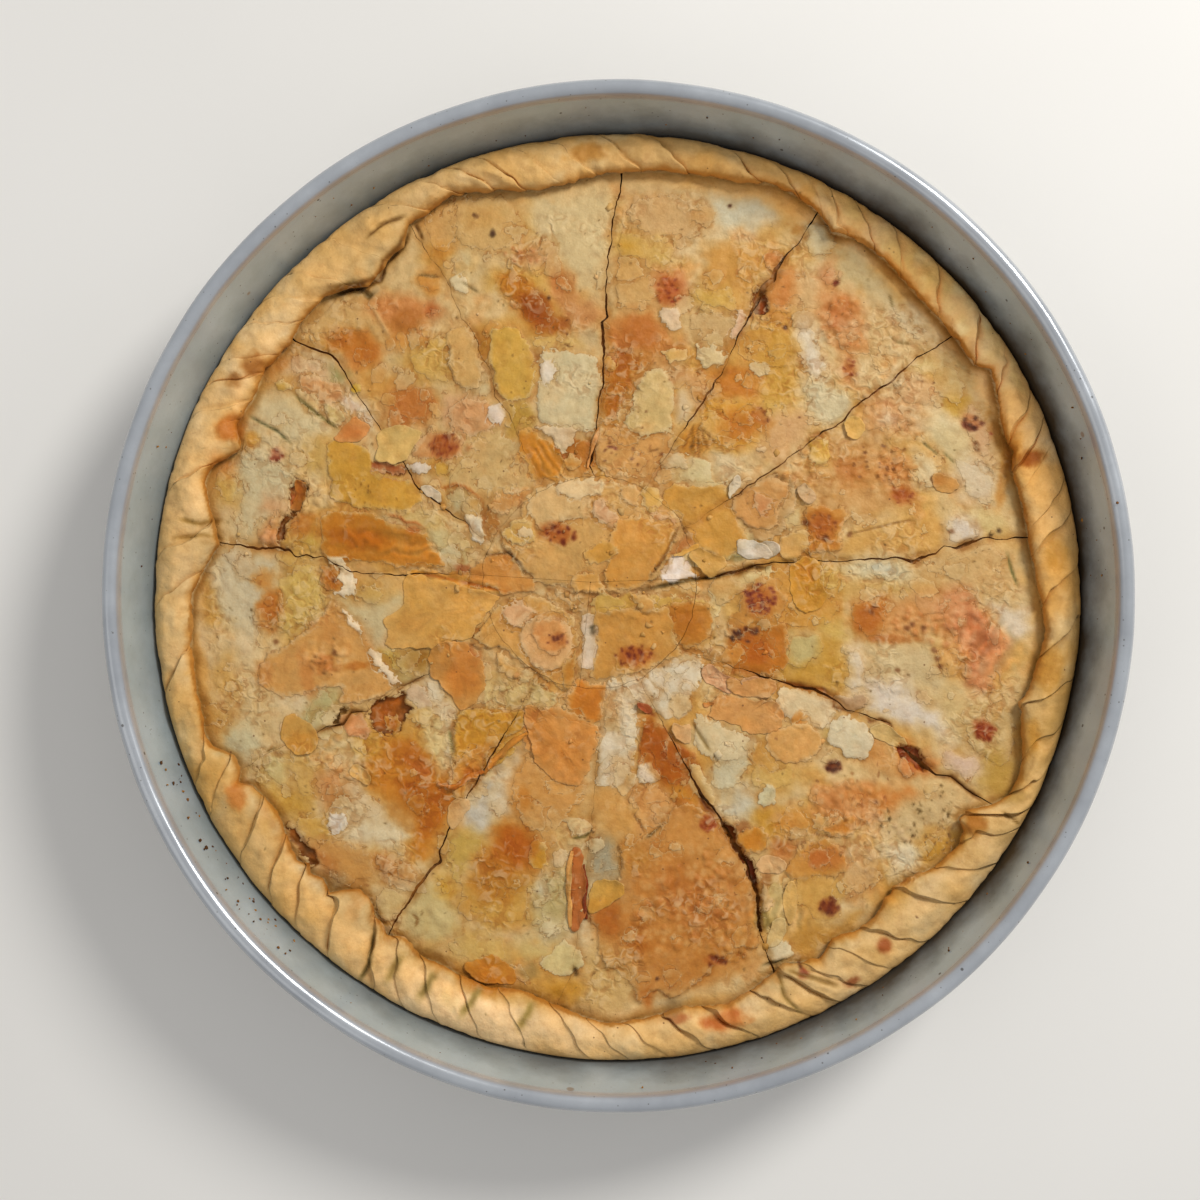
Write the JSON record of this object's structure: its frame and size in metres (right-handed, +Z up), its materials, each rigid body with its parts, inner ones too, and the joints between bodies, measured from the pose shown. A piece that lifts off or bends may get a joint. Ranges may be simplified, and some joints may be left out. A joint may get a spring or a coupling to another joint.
{
  "type": "eggplant borek in a round pan",
  "caption": "Round flaky eggplant pie with a pleated dough rope round its rim, cut into slices round a cut centre, in its shallow flared aluminium pan.",
  "frame": {"origin": "middle of the pan's underside, on the surface it stands on", "axes": "+Z up, +Y towards the back of the pie as it is seen, +X to its right"},
  "size_m": [0.3638, 0.3638, 0.055],
  "materials": {
    "pan": "worn satin aluminium with small pits and baked-on marks",
    "crust": "baked dough, cream to golden, browner on the pleats, with a slight sheen of butter",
    "filling": "moist cooked eggplant, brown with olive and orange",
    "top_crust": "flaky layered pastry, cream with golden and brown patches and broken flakes"
  },
  "bodies": {
    "root": {"pan": "pan", "crust": "crust", "filling": "filling", "slice_01": "top_crust", "slice_02": "top_crust", "slice_03": "top_crust", "slice_04": "top_crust", "slice_05": "top_crust", "slice_06": "top_crust", "slice_07": "top_crust", "slice_08": "top_crust", "slice_09": "top_crust", "slice_10": "top_crust", "slice_11": "top_crust", "slice_12": "top_crust", "centre_far": "top_crust", "centre_near_left": "top_crust", "centre_near_right": "top_crust"}
  },
  "joints": []
}
